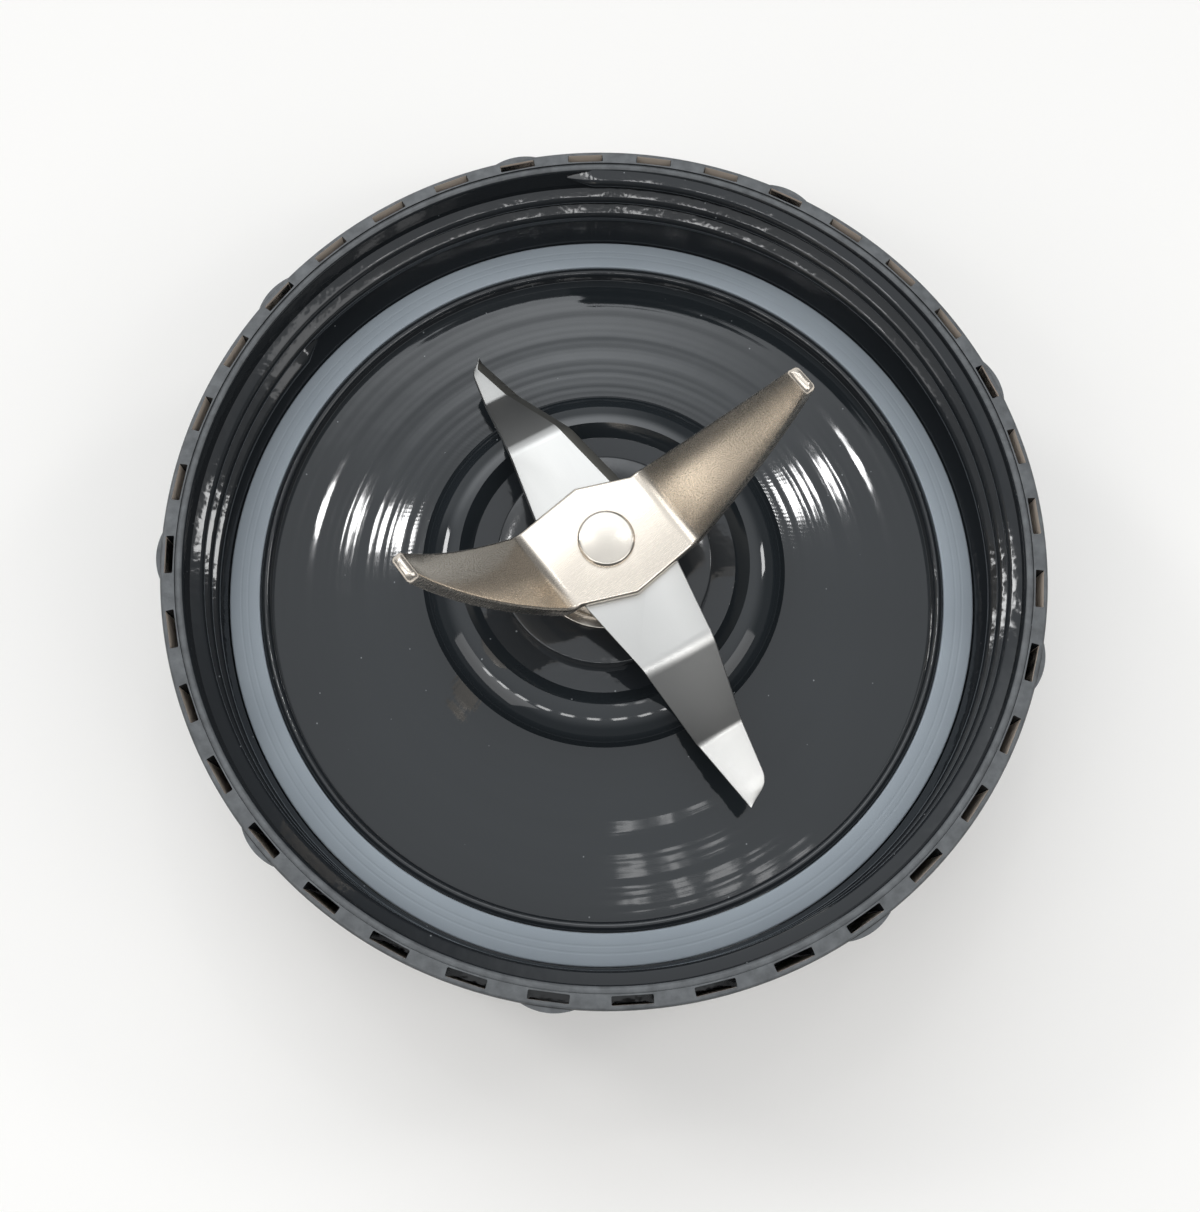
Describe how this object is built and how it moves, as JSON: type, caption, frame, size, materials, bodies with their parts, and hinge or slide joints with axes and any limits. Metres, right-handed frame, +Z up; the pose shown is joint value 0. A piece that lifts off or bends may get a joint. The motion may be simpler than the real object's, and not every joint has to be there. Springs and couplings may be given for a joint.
{
  "type": "blender blade assembly",
  "caption": "Screw-on blade base of a cup blender: threaded black collar with a silicone gasket, a dished floor and crossed stainless blades on a driven shaft.",
  "frame": {"origin": "on the shaft's axis, at the level of the skirt's foot", "axes": "+Z up along the shaft's axis towards the blades, +X and +Y across the collar"},
  "size_m": [0.0882, 0.0884, 0.0571],
  "materials": {
    "black_abs": "moulded, glossy",
    "silicone": "matt",
    "housing_nylon": "moulded, smooth",
    "nitrile": "matt",
    "plated_steel": "zinc plated",
    "sintered_bronze": "sintered, oily",
    "shaft_steel": "turned",
    "brass_insert": "turned",
    "coupling_nylon": "moulded, satin",
    "blade_steel": "satin, ground edges"
  },
  "bodies": {
    "base": {"collar": "black_abs", "gasket": "silicone", "bearing_housing": "housing_nylon", "housing_o_ring": "nitrile", "clamp_nut": "plated_steel", "clamp_washer": "plated_steel", "upper_bushing": "sintered_bronze", "lower_bushing": "sintered_bronze", "shaft_seal": "nitrile", "seal_cap": "shaft_steel"},
    "rotor": {"drive_shaft": "shaft_steel", "blade_spacer": "shaft_steel", "upper_thrust_washer": "plated_steel", "lower_thrust_washer": "plated_steel", "retaining_clip": "plated_steel", "coupling_hub": "brass_insert", "drive_coupling": "coupling_nylon", "lower_blade": "blade_steel", "upper_blade": "blade_steel"}
  },
  "joints": [
    {"name": "blade_spin", "type": "hinge", "parent": "base", "child": "rotor", "pos_m": [0, 0, 0.0282], "axis": [0, 0, -1], "continuous": true}
  ]
}
